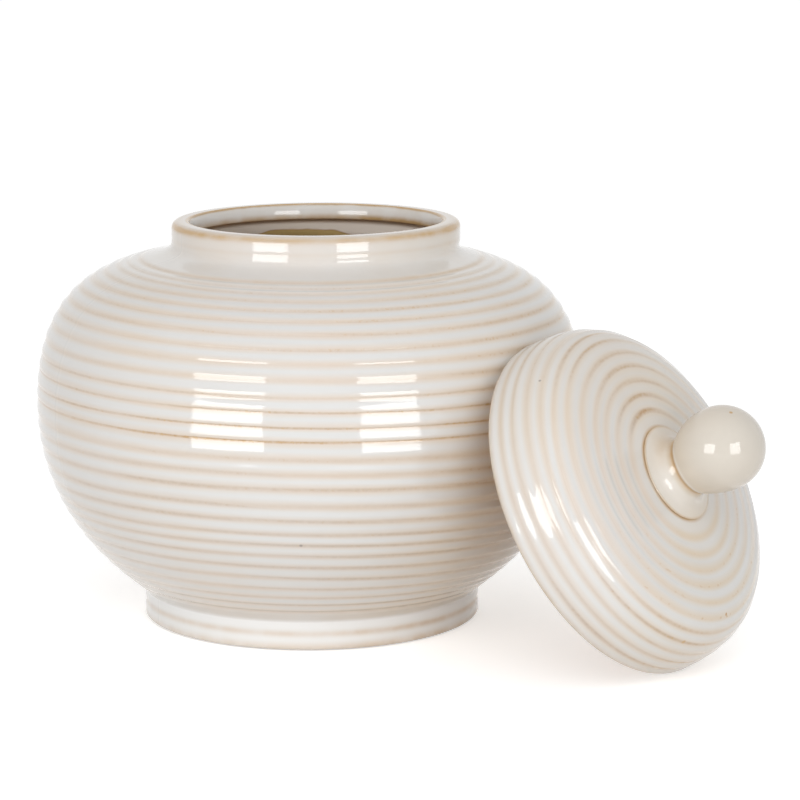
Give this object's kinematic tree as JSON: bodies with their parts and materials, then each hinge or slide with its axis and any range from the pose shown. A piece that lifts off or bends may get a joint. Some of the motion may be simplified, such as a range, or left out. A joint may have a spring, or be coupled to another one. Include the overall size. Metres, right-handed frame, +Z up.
{
  "type": "lidded jar",
  "caption": "Squat round jar in ribbed cream-glazed ceramic with an upright neck and a domed cap lid with a ball knob; the lid is off and leans on the belly.",
  "frame": {"origin": "centre of the jar's flat base, on the jar's axis, at table level", "axes": "+Z up along the jar's axis; +X level, from the jar's axis towards the leaning lid; +Y completes a right-handed frame"},
  "size_m": [0.3562, 0.2504, 0.1823],
  "materials": {
    "cream_glaze": "glossy cream glaze over pale clay, breaking to amber in the grooves"
  },
  "bodies": {
    "jar": {"jar_body": "cream_glaze"},
    "lid": {"lid_cap": "cream_glaze", "lid_knob": "cream_glaze"}
  },
  "joints": [
    {"name": "lid_lift", "type": "slide", "parent": "jar", "child": "lid", "axis": [0.8755, 0, 0.4833], "range_m": [0, 0.12]}
  ]
}
